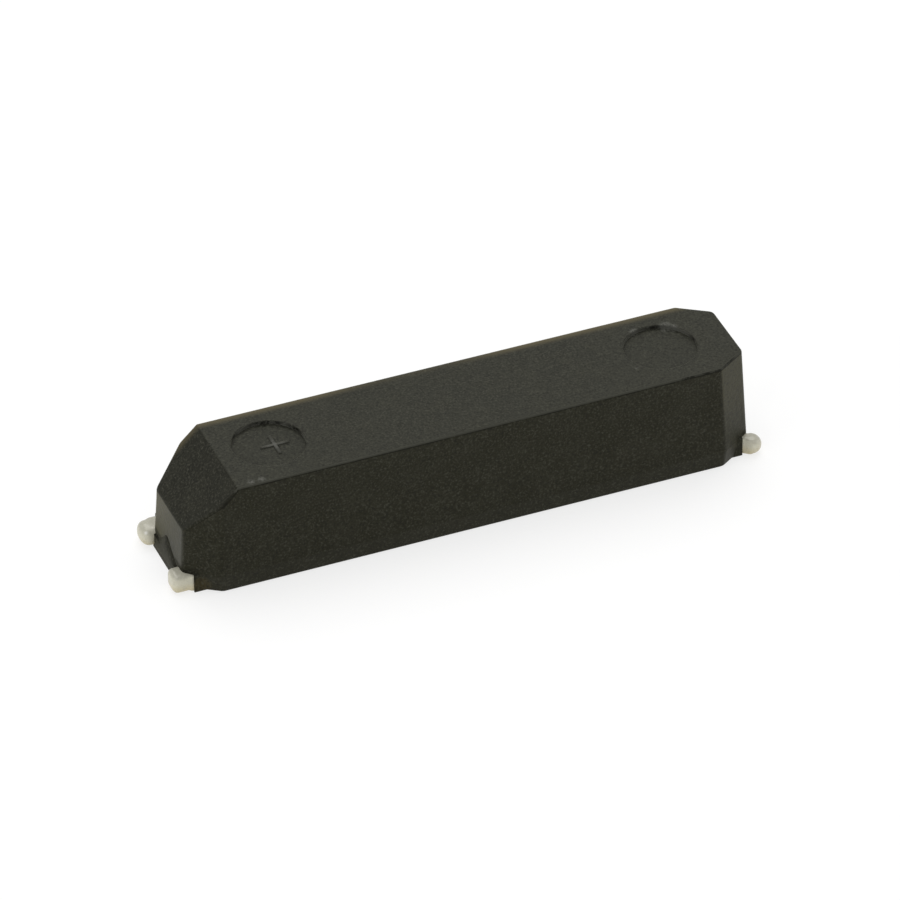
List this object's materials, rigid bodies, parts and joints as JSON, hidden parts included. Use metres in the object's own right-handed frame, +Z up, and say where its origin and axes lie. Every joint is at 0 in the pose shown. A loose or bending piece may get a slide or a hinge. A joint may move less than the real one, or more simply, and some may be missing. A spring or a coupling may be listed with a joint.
{
  "type": "surface mount quartz crystal",
  "caption": "Bar-shaped moulded quartz crystal with a bevelled end and solder terminals at its corners, holding a tuning fork sealed in a small metal can.",
  "frame": {"origin": "centre of the bottom face, in the plane of the terminals' solder faces", "axes": "+X along the bar to its square end (the bevelled end is at -X), +Z up out of the circuit board, -Y the front long side"},
  "size_m": [0.0068, 0.0014, 0.0013],
  "materials": {
    "resin": "matt black moulding resin with a fine grain",
    "tinned_terminal": "dull tin plating over the lead frame's alloy",
    "can_metal": "drawn nickel silver, satin",
    "stem_metal": "nickel plated",
    "seal_glass": "dark green sealing glass",
    "wire_metal": "plated wire",
    "solder": "dull solder",
    "quartz": "clear quartz, with its electrode film left out"
  },
  "bodies": {
    "root": {"moulded_body": "resin", "terminal_front_left": "tinned_terminal", "terminal_back_left": "tinned_terminal", "terminal_front_right": "tinned_terminal", "terminal_back_right": "tinned_terminal", "crystal_can": "can_metal", "stem_ring": "stem_metal", "stem_glass": "seal_glass", "lead_wire_front": "wire_metal", "lead_wire_back": "wire_metal", "tab_solder_front": "solder", "tab_solder_back": "solder", "fork_solder_front": "solder", "fork_solder_back": "solder", "tuning_fork": "quartz"}
  },
  "joints": []
}
